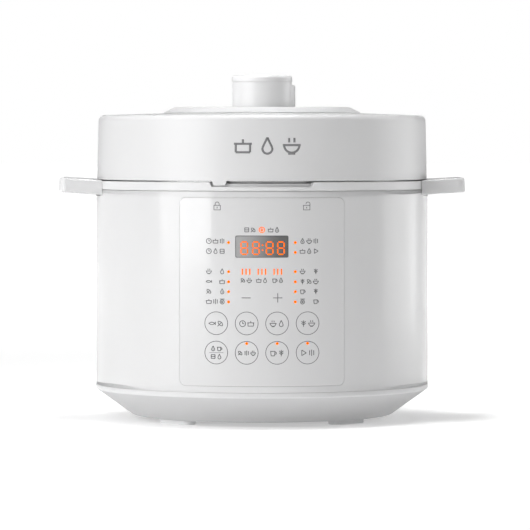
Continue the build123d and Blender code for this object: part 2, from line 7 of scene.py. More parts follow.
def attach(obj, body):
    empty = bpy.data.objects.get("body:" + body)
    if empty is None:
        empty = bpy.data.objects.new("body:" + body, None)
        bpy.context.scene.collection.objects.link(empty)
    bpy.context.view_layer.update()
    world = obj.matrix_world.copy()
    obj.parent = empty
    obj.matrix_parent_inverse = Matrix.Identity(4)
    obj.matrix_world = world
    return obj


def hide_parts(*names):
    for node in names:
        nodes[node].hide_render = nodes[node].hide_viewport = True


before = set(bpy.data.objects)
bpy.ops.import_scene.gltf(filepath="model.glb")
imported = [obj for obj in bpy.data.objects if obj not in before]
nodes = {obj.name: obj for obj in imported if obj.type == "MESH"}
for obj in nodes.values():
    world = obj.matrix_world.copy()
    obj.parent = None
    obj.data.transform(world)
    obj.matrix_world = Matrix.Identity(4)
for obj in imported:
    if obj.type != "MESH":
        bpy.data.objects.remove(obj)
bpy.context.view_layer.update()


# ---- Base pan ------------------------------------------------------
# The moulded bottom housing: a shallow cone under the casing, rounded into a flat bottom, with a lip
# that stands just proud of the shell. The cone has a fine satin skin and a darker grey that is painted
# shade, for the shade under the casing; the lip keeps a brighter white.

def rounded(corners, steps=7):
    """Closed outline through (across, up, radius) corners. A corner becomes the arc that touches both of
    its sides: its centre is on the bisector, radius / sin(half the angle) from the corner."""
    corners = np.array(corners, float)
    here, radius = corners[:, :2], corners[:, 2]
    back = np.roll(here, 1, 0) - here
    ahead = np.roll(here, -1, 0) - here
    back /= np.linalg.norm(back, axis=1)[:, None]
    ahead /= np.linalg.norm(ahead, axis=1)[:, None]
    half = 0.5 * np.arccos(np.clip((back * ahead).sum(1), -0.999999, 0.999999))
    bisector = back + ahead
    bisector /= np.linalg.norm(bisector, axis=1)[:, None]
    centre = here + bisector * (radius / np.sin(half))[:, None]
    first = here + back * (radius / np.tan(half))[:, None] - centre
    last = here + ahead * (radius / np.tan(half))[:, None] - centre
    turn = (np.pi - 2 * half)[:, None, None]
    step = np.linspace(0, 1, steps)[None, :, None]
    arcs = (np.sin((1 - step) * turn) * first[:, None] + np.sin(step * turn) * last[:, None]) / np.sin(turn)
    return (centre[:, None] + arcs).reshape(-1, 2)


def surface(name, grid, wrap_rows=False, wrap_columns=False, closed=True):
    """Mesh of quads between the neighbours of a rows x columns x 3 grid of points; wrap joins the last row
    or column to the first. A closed surface has its poles merged and its faces turned outwards."""
    rows, columns = grid.shape[:2]
    number = np.arange(rows * columns).reshape(rows, columns)
    above = number if wrap_rows else number[:-1]
    below = np.roll(number, -1, 0) if wrap_rows else number[1:]
    if wrap_columns:
        quads = np.stack([above, np.roll(above, -1, 1), np.roll(below, -1, 1), below], -1)
    else:
        quads = np.stack([above[:, :-1], above[:, 1:], below[:, 1:], below[:, :-1]], -1)
    mesh = bpy.data.meshes.new(name)
    mesh.from_pydata(grid.reshape(-1, 3).tolist(), [], quads.reshape(-1, 4).tolist())
    work = bmesh.new()
    work.from_mesh(mesh)
    bmesh.ops.remove_doubles(work, verts=work.verts, dist=2e-7)
    bmesh.ops.dissolve_degenerate(work, edges=work.edges, dist=1e-7)
    if closed:
        bmesh.ops.recalc_face_normals(work, faces=work.faces)
    work.to_mesh(mesh)
    work.free()
    mesh.shade_smooth()
    piece = bpy.data.objects.new(name, mesh)
    bpy.context.scene.collection.objects.link(piece)
    return piece


def turned(name, corners, steps=256, x=0.0, y=0.0):
    """Solid of revolution: each point (radius, height) of the rounded outline goes round an upright axis
    at x, y."""
    outline = rounded(corners)
    turn = np.linspace(0, 2 * np.pi, steps, endpoint=False)[:, None]
    radius = np.maximum(outline[:, 0], 0)[None]
    height = np.broadcast_to(outline[:, 1][None], (steps, len(outline)))
    grid = np.stack([x + radius * np.cos(turn), y + radius * np.sin(turn), height], -1)
    piece = surface(name, grid, wrap_rows=True, wrap_columns=True)
    weighted(piece)
    return piece


def weighted(piece):
    """Large faces keep their own normals, so only the small rounded edges turn the light."""
    steady = piece.modifiers.new("steady", "WEIGHTED_NORMAL")
    steady.weight = 100
    steady.keep_sharp = True


def dress(piece, material):
    """Gives a piece or a CAD node one finish all over."""
    piece.data.materials.clear()
    piece.data.materials.append(material)


def skin_group():
    """Node group for moulded and coated surfaces. Fine noise makes the skin's bumps; a broad, slow noise
    moves the roughness between its two ends and darkens the colour a little."""
    group = bpy.data.node_groups.new("moulded_skin", "ShaderNodeTree")
    face = group.interface
    white = (0.8, 0.8, 0.8, 1)
    face.new_socket(name="Colour", in_out="INPUT", socket_type="NodeSocketColor").default_value = white
    for socket, value in (("Grain scale", 900), ("Grain depth", 0.1), ("Rough low", 0.3),
                          ("Rough high", 0.4), ("Shade", 0.02)):
        face.new_socket(name=socket, in_out="INPUT", socket_type="NodeSocketFloat").default_value = value
    face.new_socket(name="Colour", in_out="OUTPUT", socket_type="NodeSocketColor")
    face.new_socket(name="Roughness", in_out="OUTPUT", socket_type="NodeSocketFloat")
    face.new_socket(name="Normal", in_out="OUTPUT", socket_type="NodeSocketVector")
    make, link = group.nodes.new, group.links.new
    inside = make("NodeGroupInput")
    outside = make("NodeGroupOutput")
    place = make("ShaderNodeTexCoord")
    fine = make("ShaderNodeTexNoise")
    fine.inputs["Detail"].default_value = 3
    slow = make("ShaderNodeTexNoise")
    slow.inputs["Scale"].default_value = 17
    slow.inputs["Detail"].default_value = 4
    bump = make("ShaderNodeBump")
    bump.inputs["Distance"].default_value = 0.0004
    rough = make("ShaderNodeMapRange")
    rough.inputs["From Min"].default_value = 0.3
    rough.inputs["From Max"].default_value = 0.7
    darker = make("ShaderNodeMix")
    darker.data_type = "RGBA"
    darker.blend_type = "MULTIPLY"
    darker.inputs["B"].default_value = (0, 0, 0, 1)
    amount = make("ShaderNodeMath")
    amount.operation = "MULTIPLY"
    link(place.outputs["Object"], fine.inputs["Vector"])
    link(place.outputs["Object"], slow.inputs["Vector"])
    link(inside.outputs["Grain scale"], fine.inputs["Scale"])
    link(fine.outputs["Fac"], bump.inputs["Height"])
    link(inside.outputs["Grain depth"], bump.inputs["Strength"])
    link(slow.outputs["Fac"], rough.inputs["Value"])
    link(inside.outputs["Rough low"], rough.inputs["To Min"])
    link(inside.outputs["Rough high"], rough.inputs["To Max"])
    link(slow.outputs["Fac"], amount.inputs[0])
    link(inside.outputs["Shade"], amount.inputs[1])
    link(amount.outputs[0], darker.inputs["Factor"])
    link(inside.outputs["Colour"], darker.inputs["A"])
    link(darker.outputs["Result"], outside.inputs["Colour"])
    link(rough.outputs["Result"], outside.inputs["Roughness"])
    link(bump.outputs["Normal"], outside.inputs["Normal"])
    return group


moulded_skin = skin_group()


def moulded(name, colour, rough, grain=900, depth=0.06, shade=0.03, coat=0.0, specular=0.5, metallic=0.0):
    """Plastic, rubber or coated finish on the moulded skin group. rough is its (lowest, highest)."""
    material = bpy.data.materials.new(name)
    material.use_nodes = True
    tree = material.node_tree
    shader = tree.nodes["Principled BSDF"]
    skin = tree.nodes.new("ShaderNodeGroup")
    skin.node_tree = moulded_skin
    skin.inputs["Colour"].default_value = (*colour, 1)
    skin.inputs["Grain scale"].default_value = grain
    skin.inputs["Grain depth"].default_value = depth
    skin.inputs["Rough low"].default_value = rough[0]
    skin.inputs["Rough high"].default_value = rough[1]
    skin.inputs["Shade"].default_value = shade
    tree.links.new(skin.outputs["Colour"], shader.inputs["Base Color"])
    tree.links.new(skin.outputs["Roughness"], shader.inputs["Roughness"])
    tree.links.new(skin.outputs["Normal"], shader.inputs["Normal"])
    shader.inputs["Coat Weight"].default_value = coat
    shader.inputs["Coat Roughness"].default_value = 0.04
    shader.inputs["Specular IOR Level"].default_value = specular
    shader.inputs["Metallic"].default_value = metallic
    return material


def faces_where(piece, chosen):
    """Gives the second material to the faces whose centre, as (x, y, z), is chosen."""
    centres = np.empty(len(piece.data.polygons) * 3)
    piece.data.polygons.foreach_get("center", centres)
    number = chosen(*centres.reshape(-1, 3).T).astype(np.int32)
    piece.data.polygons.foreach_set("material_index", number)


lip_low = 0.0262
# Painted shade: the cone and the bottom plate get a darker copy of the lip's white, for the shade under the
# casing.
pan_painted_shade = moulded("pan_white_painted_shade", (0.53, 0.53, 0.534), (0.38, 0.46), grain=1400, depth=0.08)
pan = turned("base_pan_skin", [
    (0.0680, 0.0035, 0.0003),
    (0.1125, 0.0035, 0.0100),
    (0.1446, 0.0265, 0.0010),
    (0.1453, 0.0275, 0.0004),
    (0.1453, 0.0309, 0.0004),
    (0.1423, 0.0309, 0.0001),
    (0.1423, 0.0350, 0.0003),
    (0.1399, 0.0350, 0.0003),
    (0.1399, 0.0265, 0.0020),
    (0.1117, 0.0060, 0.0040),
    (0.0700, 0.0060, 0.0002),
    (0.0700, 0.0080, 0.0003),
    (0.0580, 0.0080, 0.0003),
    (0.0580, 0.0055, 0.0003),
    (0.0680, 0.0055, 0.0002),
])
lip_white = moulded("lip_white", (0.66, 0.66, 0.664), (0.30, 0.38), grain=1400, depth=0.05)
dress(pan, pan_painted_shade)
pan.data.materials.append(lip_white)
faces_where(pan, lambda x, y, z: z > lip_low)
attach(pan, "base")
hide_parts("base_pan")
dress(nodes["bottom_plate"], pan_painted_shade)


# ---- Feet ----------------------------------------------------------
# Four stadium-shaped pads of white rubber, each held by a stem pressed into the pan.

foot_rubber = moulded("foot_rubber", (0.78, 0.78, 0.785), (0.62, 0.78), grain=1800, depth=0.25, shade=0.10)
dress(nodes["feet"], foot_rubber)


# ---- Outer shell ---------------------------------------------------
# The round casing, glossy white: a thin moulding between the pan and the rim ring, over a spigot of
# each. It has a rounded window for the control panel, a rear one for the inlet, and the spout's hole.

casing_r = 0.145
panel_half = 0.0694
panel_low = 0.0365
panel_high = 0.1951
panel_corner = 0.005
shell_low = 0.0310
shell_high = 0.2003


def round_rectangle(half_width, half_height, corner, side=48):
    """Closed outline of a rounded rectangle about the origin, with the same number of points on each of
    its four sides, counted from the middle of one corner's arc to the middle of the next."""
    eighth = np.linspace(np.pi / 4, np.pi / 2, side // 6, endpoint=False)
    bend = np.stack([np.cos(eighth), np.sin(eighth)], -1) * corner

    def top_side(half_along, half_out):
        start = bend + [half_along - corner, half_out - corner]
        along = np.linspace(half_along - corner, corner - half_along, side - 2 * len(bend))
        straight = np.stack([along, np.full_like(along, half_out)], -1)
        finish = (start * [-1, 1])[::-1]
        return np.concatenate([start, straight, finish])[:-1]

    top = top_side(half_width, half_height)
    left = top_side(half_height, half_width)
    half = np.concatenate([top, np.stack([-left[:, 1], left[:, 0]], -1)])
    return np.concatenate([half, -half])


def wrapped(points, radius, middle):
    """Flat (across, up) points wrapped round the casing's front. across is the chord's sideways place, so
    the angle is arcsin(across / casing radius); middle is the height of the flat origin."""
    angle = np.arcsin(np.clip(points[..., 0] / casing_r, -1, 1))
    return np.stack([radius * np.sin(angle), -radius * np.cos(angle), middle + points[..., 1]], -1)


gap = 0.00012
middle_z = (panel_low + panel_high) / 2
panel_half_high = (panel_high - panel_low) / 2
hole = round_rectangle(panel_half + gap, panel_half_high + gap, panel_corner + gap)
hole_angle = np.arcsin(hole[:, 0] / casing_r)
hole_height = middle_z + hole[:, 1]
per_side = len(hole) // 4
sweep = np.linspace(1, -1, per_side, endpoint=False)
steady = np.ones(per_side)
edge_angle = np.concatenate([sweep, -steady, -sweep, steady]) * np.pi
edge_height = np.concatenate([steady, sweep, -steady, -sweep])
edge_height = (shell_low + shell_high) / 2 + edge_height * (shell_high - shell_low) / 2
blend = np.linspace(0, 1, 72)[:, None] ** 1.3
angle = (1 - blend) * hole_angle + blend * edge_angle
height = (1 - blend) * hole_height + blend * edge_height
shell_grid = np.stack([casing_r * np.sin(angle), -casing_r * np.cos(angle), height], -1)
shell = surface("outer_shell_skin", shell_grid, wrap_columns=True, closed=False)


def face_out(piece):
    """Turns the faces of an open curved sheet away from the vertical axis."""
    work = bmesh.new()
    work.from_mesh(piece.data)
    bmesh.ops.recalc_face_normals(work, faces=work.faces)
    face = max(work.faces, key=lambda f: f.calc_area())
    spot = face.calc_center_median()
    if face.normal.x * spot.x + face.normal.y * spot.y < 0:
        bmesh.ops.reverse_faces(work, faces=work.faces)
    work.to_mesh(piece.data)
    work.free()


def pierce(piece, cutter):
    """Cuts a closed cutter mesh out of a piece, and makes that and its modifiers so far permanent."""
    cutter_mesh = bpy.data.meshes.new("cutter")
    cutter.to_mesh(cutter_mesh)
    cutter.free()
    drill = bpy.data.objects.new("cutter", cutter_mesh)
    bpy.context.scene.collection.objects.link(drill)
    cut = piece.modifiers.new("hole", "BOOLEAN")
    cut.object = drill
    pierced = piece.evaluated_get(bpy.context.evaluated_depsgraph_get())
    piece.data = bpy.data.meshes.new_from_object(pierced)
    piece.modifiers.clear()
    bpy.data.objects.remove(drill)


def thicken(piece, wall, edge, cutters=()):
    """Gives an open sheet its wall, inwards, rounds the edges of the wall and pierces it."""
    face_out(piece)
    solid = piece.modifiers.new("wall", "SOLIDIFY")
    solid.thickness = wall
    solid.offset = -1
    bevel = piece.modifiers.new("edge", "BEVEL")
    bevel.width = edge
    bevel.segments = 3
    bevel.limit_method = "ANGLE"
    bevel.angle_limit = np.radians(50)
    for cutter in cutters:
        pierce(piece, cutter)
        piece.data.set_sharp_from_angle(angle=np.radians(50))
    weighted(piece)


def rod_cutter(radius, length, segments=64):
    """Upright rod about the origin, ready to be moved."""
    rod = bmesh.new()
    bmesh.ops.create_cone(rod, cap_ends=True, segments=segments, depth=length,
                          radius1=radius, radius2=radius)
    return rod


def spout_bore():
    """Cutter for the drain spout: a rod of the spout's radius, laid through the rear wall."""
    spout_r = 0.0040
    spout_place = (0, 0.1400, 0.1916)
    rod = rod_cutter(spout_r, 0.030, segments=48)
    bmesh.ops.rotate(rod, verts=rod.verts, matrix=Matrix.Rotation(np.pi / 2, 3, "X"))
    bmesh.ops.translate(rod, verts=rod.verts, vec=spout_place)
    return rod


inlet_size = (0.0522, 0.0600, 0.0302)
inlet_place = (0, 0.1300, 0.0550)
inlet_window = bmesh.new()
bmesh.ops.create_cube(inlet_window, size=1.0)
bmesh.ops.scale(inlet_window, verts=inlet_window.verts, vec=inlet_size)
bmesh.ops.translate(inlet_window, verts=inlet_window.verts, vec=inlet_place)
thicken(shell, wall=0.0025, edge=0.0002, cutters=[inlet_window, spout_bore()])
shell_white = moulded("shell_gloss_white", (0.645, 0.645, 0.649), (0.20, 0.24), grain=260, depth=0.010,
                      shade=0.015, coat=0.25, specular=0.45)
dress(shell, shell_white)
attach(shell, "base")
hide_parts("outer_shell")


# ---- Rim ring ------------------------------------------------------
# The moulded ring that caps the shell: a bright band outside, a trough for condensate inside, and a
# long shallow recess in the front of its top edge where the lid's pointer travels. Its inner lip dips
# there too, by a share of the recess.

ring_corners = [
    (0.1345, 0.2082, 0.0006),
    (0.1412, 0.2082, 0.0001),
    (0.1415, 0.2079, 0.0001),
    (0.1418, 0.2081, 0.0001),
    (0.1448, 0.2082, 0.0008),
    (0.1448, 0.2007, 0.0005),
    (0.1423, 0.2007, 0.0002),
    (0.1423, 0.1955, 0.0003),
    (0.1399, 0.1955, 0.0003),
    (0.1399, 0.2057, 0.0003),
    (0.1370, 0.2057, 0.0003),
    (0.1370, 0.1865, 0.0005),
    (0.1144, 0.1865, 0.0003),
    (0.1144, 0.1890, 0.0008),
    (0.1345, 0.1890, 0.0020),
]
recess_half = np.radians(17.7)
recess_slope = np.radians(0.72)
recess_depth = 0.0038
recess_r = 0.14135
inner_share = 0.35
outline = rounded(ring_corners)
turn = np.linspace(-np.pi, np.pi, 720, endpoint=False)
fine_turn = np.linspace(-recess_half - 0.002, -recess_half + 2 * recess_slope, 24)
turn = np.unique(np.concatenate([turn, fine_turn, -fine_turn]))[:, None]
sunk = np.clip((recess_half - np.abs(turn)) / recess_slope, 0, 1) * recess_depth
radius = np.broadcast_to(outline[:, 0][None], (len(turn), len(outline)))
height = outline[:, 1][None]
outer_lip = (radius > recess_r) & (height > 0.2060)
inner_lip = height > 0.2076
lowered = np.where(outer_lip, height - sunk, np.where(inner_lip, height - inner_share * sunk, height))
ring_grid = np.stack([radius * np.sin(turn), -radius * np.cos(turn), lowered], -1)
ring = surface("rim_ring_skin", ring_grid, wrap_rows=True, wrap_columns=True)
pierce(ring, spout_bore())
ring.data.set_sharp_from_angle(angle=np.radians(50))
weighted(ring)
satin_white = moulded("satin_white", (0.69, 0.69, 0.694), (0.30, 0.36), grain=1500, depth=0.05, shade=0.02,
                      specular=0.4)
dress(ring, satin_white)
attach(ring, "base")
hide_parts("rim_ring")


# ---- Carrying ears -------------------------------------------------
# Two flat ears moulded on the ring, rising a little outwards, hollow underneath and closed by a cap.

ear_tilt = np.radians(3.5)
ear_root = 0.1451
ear_middle_z = 0.2028
ear_half_thick = 0.00635
ear_reach = 0.1757
ear_half_width = 0.0445


def ear(name, side):
    """Pillow on a rounded-rectangle plan. Each row of the outline is (inset from the plan's edge, height
    as a share of the half thickness): from the middle of the top, over the rounded edge and down, to the
    rim of the recess underneath and its floor. A middle point closes each end. The root is pushed out to
    the ring, and the whole is tilted about the root."""
    outline_rows = np.array([
        (0.0200, 1.00), (0.0100, 1.00), (0.0040, 1.00), (0.0014, 1.00), (0.0007, 0.95),
        (0.0002, 0.82), (0.0000, 0.62), (0.0000, -0.70), (0.0002, -0.88), (0.0006, -1.00),
        (0.0024, -1.00), (0.0026, -0.96), (0.0026, -0.80), (0.0120, -0.80), (0.0205, -0.80),
    ])
    start = 0.118
    plan_corner = 0.007
    rows = []
    for inset in outline_rows[:, 0]:
        corner = max(plan_corner - inset, 0.0008)
        rows.append(round_rectangle((ear_reach - start) / 2 - inset, ear_half_width - inset, corner))
    plan = np.stack(rows)
    x = plan[..., 0] + (ear_reach + start) / 2
    y = plan[..., 1]
    z = np.broadcast_to(outline_rows[:, 1:] * ear_half_thick, x.shape)

    def with_middles(row):
        first = row[:1].mean(1, keepdims=True).repeat(row.shape[1], 1)
        last = row[-1:].mean(1, keepdims=True).repeat(row.shape[1], 1)
        return np.concatenate([first, row, last])

    x, y, z = with_middles(x), with_middles(y), with_middles(z)
    across = (x - ear_root) * np.cos(ear_tilt) - z * np.sin(ear_tilt) + ear_root
    rise = (x - ear_root) * np.sin(ear_tilt) + z * np.cos(ear_tilt) + ear_middle_z
    across = np.maximum(across, np.sqrt(ear_root ** 2 - y ** 2))
    piece = surface(name, np.stack([side * across, y, rise], -1), wrap_columns=True)
    weighted(piece)
    dress(piece, satin_white)
    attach(piece, "base")


ear("right_ear_skin", 1)
ear("left_ear_skin", -1)
dress(nodes["handle_caps"], satin_white)


# ---- Control panel -------------------------------------------------
# A curved glossy plate set flush in the shell's window, a thin shadow gap round it, with an opening
# for the display. The plate is polished clear over white.

window_half = 0.0221
window_low = 0.1451
window_high = 0.1632
window_z = (window_low + window_high) / 2
window_half_high = (window_high - window_low) / 2
plate_outline = round_rectangle(panel_half, panel_half_high, panel_corner)
window_outline = round_rectangle(window_half, window_half_high, 0.0011) + [0, window_z - middle_z]
blend = np.linspace(0, 1, 40)[:, None, None]
plate_grid = wrapped(window_outline * (1 - blend) + plate_outline * blend, casing_r, middle_z)
plate = surface("control_panel_skin", plate_grid, wrap_columns=True, closed=False)
thicken(plate, wall=0.0024, edge=0.00022)
panel_white = moulded("panel_gloss_white", (0.63, 0.63, 0.634), (0.14, 0.18), grain=120, depth=0.004,
                      shade=0.01, coat=0.5)
dress(plate, panel_white)
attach(plate, "base")
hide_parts("control_panel")


# ---- Display window ------------------------------------------------
# A smoked lens just below the plate, paler towards its left end as a painted reflection of the light on the
# left, and on it four lit orange digits with a colon. The digits are thin films that stand for the light of
# the display behind.

lens_gap = 0.0002
lens_outline = round_rectangle(window_half - lens_gap, window_half_high - lens_gap, 0.0010)
blend = np.linspace(0, 1, 16)[:, None, None]
lens_grid = wrapped(lens_outline * blend, casing_r - 0.0002, window_z)
lens = surface("display_lens_skin", lens_grid, wrap_columns=True, closed=False)
thicken(lens, wall=0.0022, edge=0.0002)
smoked = moulded("smoked_lens", (0.17, 0.162, 0.157), (0.20, 0.26), grain=200, depth=0.004, shade=0.05,
                 coat=0.4)
tree = smoked.node_tree
skin = next(n for n in tree.nodes if n.type == "GROUP")
place = tree.nodes.new("ShaderNodeTexCoord")
apart = tree.nodes.new("ShaderNodeSeparateXYZ")
# Painted reflection: the lens's colour runs from pale at its left end to dark at its right, for the left
# light's reflection.
across = tree.nodes.new("ShaderNodeMapRange")
across.interpolation_type = "SMOOTHSTEP"
for socket, value in (("From Min", -0.020), ("From Max", 0.018), ("To Min", 0.36), ("To Max", 0.11)):
    across.inputs[socket].default_value = value
tree.links.new(place.outputs["Object"], apart.inputs[0])
tree.links.new(apart.outputs["X"], across.inputs["Value"])
tree.links.new(across.outputs["Result"], skin.inputs["Colour"])
dress(lens, smoked)
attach(lens, "base")
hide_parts("display_lens")


def strip(points, width):
    """Flat band of even width along a path: each point goes half the width to each side of the path."""
    points = np.asarray(points, float)
    ahead = np.gradient(points, axis=0)
    ahead /= np.linalg.norm(ahead, axis=1)[:, None]
    sideways = np.stack([-ahead[:, 1], ahead[:, 0]], -1) * width / 2
    return np.stack([points - sideways, points + sideways])


def line(x0, z0, x1, z1, width):
    """Straight band with square ends, cut into short runs so that it can follow the curved wall."""
    runs = max(2, int(np.hypot(x1 - x0, z1 - z0) / 0.0012) + 1)
    step = np.linspace(0, 1, runs)[:, None]
    return strip(np.array([x0, z0]) * (1 - step) + np.array([x1, z1]) * step, width)


def arc(x, z, radius, start, stop, width):
    """Band along a circle's arc, in degrees anticlockwise from +X as seen from the front."""
    angle = np.radians(np.linspace(start, stop, max(9, int(abs(stop - start) / 7.5) + 1)))
    return strip(np.stack([x + radius * np.cos(angle), z + radius * np.sin(angle)], -1), width)


def spot(x, z, radius):
    """Filled disc: an arc band whose inner edge is the centre."""
    return arc(x, z, radius / 2, 0, 360, radius)


def printed(name, bands, material, body="base", lift=0.00006, radius=casing_r):
    """One mesh of flat bands, each wrapped round a wall of one radius, or of a radius that follows from
    the height. The bands stand off the wall by lift and get most of that as their own thickness."""
    points, quads, count = [], [], 0
    for band in bands:
        columns = band.shape[1]
        points.append(band.reshape(-1, 2))
        number = np.arange(2 * columns).reshape(2, columns) + count
        quads.append(np.stack([number[0, :-1], number[0, 1:], number[1, 1:], number[1, :-1]], -1))
        count += 2 * columns
    flat = np.concatenate(points)
    away = radius(flat[:, 1]) if callable(radius) else radius
    angle = np.arcsin(flat[:, 0] / away)
    away = away + lift
    place = np.stack([away * np.sin(angle), -away * np.cos(angle), flat[:, 1]], -1)
    mesh = bpy.data.meshes.new(name)
    mesh.from_pydata(place.tolist(), [], np.concatenate(quads).tolist())
    mesh.shade_smooth()
    piece = bpy.data.objects.new(name, mesh)
    bpy.context.scene.collection.objects.link(piece)
    film = piece.modifiers.new("film", "SOLIDIFY")
    film.thickness = lift * 0.9
    film.offset = -1
    dress(piece, material)
    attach(piece, body)
    return piece


def glowing(name, colour, strength):
    """Lit marking: a coloured translucent finish with its own even light and a slight mottle."""
    material = moulded(name, colour, (0.25, 0.35), grain=2500, depth=0.02, shade=0.10, specular=0.0)
    shader = material.node_tree.nodes["Principled BSDF"]
    skin = next(n for n in material.node_tree.nodes if n.type == "GROUP")
    material.node_tree.links.new(skin.outputs["Colour"], shader.inputs["Emission Color"])
    shader.inputs["Emission Strength"].default_value = strength
    return material


lit_orange = glowing("lit_orange", (0.95, 0.145, 0.0), 0.8)
digit_width = 0.0054
digit_height = 0.0104
digit_stroke = 0.00105
digit_z = 0.1529
digits = []
half = digit_width / 2
tall = digit_height / 2
cut = 0.0007
for x in (-0.0148, -0.0050, 0.0065, 0.0160):
    for z in (-tall, 0, tall):
        digits.append(line(x - half + cut, digit_z + z, x + half - cut, digit_z + z, digit_stroke))
    for edge in (-half, half):
        digits.append(line(x + edge, digit_z - tall + cut, x + edge, digit_z - cut, digit_stroke))
        digits.append(line(x + edge, digit_z + cut, x + edge, digit_z + tall - cut, digit_stroke))
for z in (0.1513, 0.1554):
    digits.append(spot(0.0006, z, 0.0007))
printed("display_digits", digits, lit_orange, radius=casing_r - 0.00012)


# ---- Indicator dots ------------------------------------------------
# Small orange lenses flush with the plate beside each label, lit by the light guides behind them.

left_rows = (0.1575, 0.1330, 0.1245, 0.1162, 0.1076)
right_rows = (0.1575, 0.1492, 0.1330, 0.1245, 0.1162, 0.1076)
key_columns = (-0.0384, -0.0128, 0.0128, 0.0384)
key_rows = (0.0896, 0.0649)
dot_x = 0.028
dot_r = 0.0012
dots = [spot(-dot_x, z, dot_r) for z in left_rows]
dots += [spot(dot_x, z, dot_r) for z in right_rows]
dots += [spot(x, key_rows[1] + 0.0078, dot_r) for x in key_columns[1:]]
lenses = printed("indicator_dots", dots, lit_orange)
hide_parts("indicator_lenses")


# ---- Printed markings ----------------------------------------------
# Grey silk-screened pictograms in place of words, rings round the keys, minus and plus, two padlocks,
# the display's frame line and, in orange, three groups of level bars and the heading's centre mark.

print_grey = moulded("print_grey", (0.12, 0.12, 0.125), (0.35, 0.45), grain=3000, depth=0.03, shade=0.15)
pictures = {
    "pot": [("l", -.8, .2, -.8, -.7), ("l", -.8, -.7, .8, -.7), ("l", .8, -.7, .8, .2),
            ("l", -1, .25, 1, .25), ("l", 0, .3, 0, .75)],
    "bowl": [("a", 0, .1, .85, 180, 360), ("l", -1, .1, 1, .1), ("l", -.4, -.85, .4, -.85),
             ("l", -.3, .4, -.3, .9), ("l", .3, .4, .3, .9)],
    "clock": [("a", 0, 0, .85, 0, 360), ("l", 0, -.05, 0, .55), ("l", 0, 0, .45, 0)],
    "flame": [("a", 0, -.25, .6, 180, 360), ("l", -.6, -.25, 0, .95), ("l", .6, -.25, 0, .95),
              ("l", 0, -.5, 0, 0)],
    "leaf": [("a", -.45, -.45, 1.1, -10, 100), ("a", .45, .45, 1.1, 170, 280), ("l", -.8, -.8, .4, .4)],
    "fish": [("a", -.1, -.75, 1.1, 35, 145), ("a", -.1, .75, 1.1, 215, 325), ("l", .8, -.1, 1, .45),
             ("l", .8, .1, 1, -.45)],
    "grain": [("l", 0, -.95, 0, .9), ("l", 0, .1, .6, .65), ("l", 0, .1, -.6, .65), ("l", 0, -.45, .6, .1),
              ("l", 0, -.45, -.6, .1)],
    "cup": [("l", -.7, .5, -.55, -.8), ("l", -.55, -.8, .4, -.8), ("l", .4, -.8, .55, .5),
            ("l", -.8, .5, .65, .5), ("a", .6, -.05, .35, -80, 80)],
    "steam": [("l", -.6, -.7, -.6, .7), ("l", 0, -.9, 0, .9), ("l", .6, -.7, .6, .7)],
    "drop": [("a", 0, -.3, .55, 170, 370), ("l", -.55, -.2, 0, .95), ("l", .55, -.2, 0, .95)],
    "play": [("l", -.5, -.8, -.5, .8), ("l", -.5, .8, .8, 0), ("l", .8, 0, -.5, -.8)],
    "box": [("l", -.7, -.7, .7, -.7), ("l", .7, -.7, .7, .7), ("l", .7, .7, -.7, .7),
            ("l", -.7, .7, -.7, -.7), ("l", -.7, 0, .7, 0)],
    "egg": [("a", 0, -.15, .7, 180, 360), ("a", 0, -.15, .7, 0, 180), ("a", 0, -.15, .25, 0, 360),
            ("l", -.8, .85, .8, .85)],
}


def picture(name, x, z, size, width):
    """One pictogram, drawn in units of half its size about its centre. "l" is a line from (x0, z0) to
    (x1, z1), "a" an arc about (x, z) with a radius and two angles."""
    scale = size / 2
    bands = []
    for kind, *values in pictures[name]:
        if kind == "l":
            x0, z0, x1, z1 = (v * scale for v in values)
            bands.append(line(x + x0, z + z0, x + x1, z + z1, width))
        else:
            px, pz, radius = (v * scale for v in values[:3])
            bands.append(arc(x + px, z + pz, radius, *values[3:], width))
    return bands


def label(names, x, z, size=0.0049, pitch=0.0056, width=0.0006):
    """Pictograms side by side, centred on a place."""
    bands = []
    for number, name in enumerate(names):
        bands += picture(name, x + (number - (len(names) - 1) / 2) * pitch, z, size, width)
    return bands


left_x = -0.0390
right_x = 0.0397
grey = []
left_labels = [("clock", "pot", "steam"), ("clock", "drop", "box")]
right_labels = [("flame", "bowl", "steam"), ("pot", "flame", "play")]
for x, labels in ((left_x, left_labels), (right_x, right_labels)):
    for names, z in zip(labels, (0.1587, 0.1502)):
        grey += label(names, x, z)
left_programmes = [("bowl", "drop"), ("fish", "pot"), ("leaf", "flame"), ("pot", "steam", "egg")]
right_programmes = [("bowl", "grain"), ("grain", "leaf", "bowl"), ("cup", "grain"), ("egg", "cup")]
for row, z in enumerate((0.1332, 0.1247, 0.1164, 0.1079)):
    for names, x in ((left_programmes[row], left_x), (right_programmes[row], right_x)):
        grey += label(names, x, z, pitch=0.0112 if len(names) == 2 else 0.0056)
level_columns = (-0.0133, 0.0, 0.0133)
for names, x in zip((("leaf", "bowl"), ("pot", "drop"), ("cup", "flame")), level_columns):
    grey += label(names, x, 0.1258, size=0.0046, pitch=0.0053)
heading_z = 0.1682
grey += label(("box", "leaf"), -0.0100, heading_z, size=0.0048, pitch=0.0054)
grey += label(("pot", "flame"), 0.0100, heading_z, size=0.0048, pitch=0.0054)
key_labels = [(("fish", "leaf"), ("clock", "pot"), ("bowl", "drop"), ("grain", "bowl")),
              (None, ("leaf", "steam", "bowl"), ("cup", "grain"), ("play", "steam"))]
key_ring_r = 0.0096
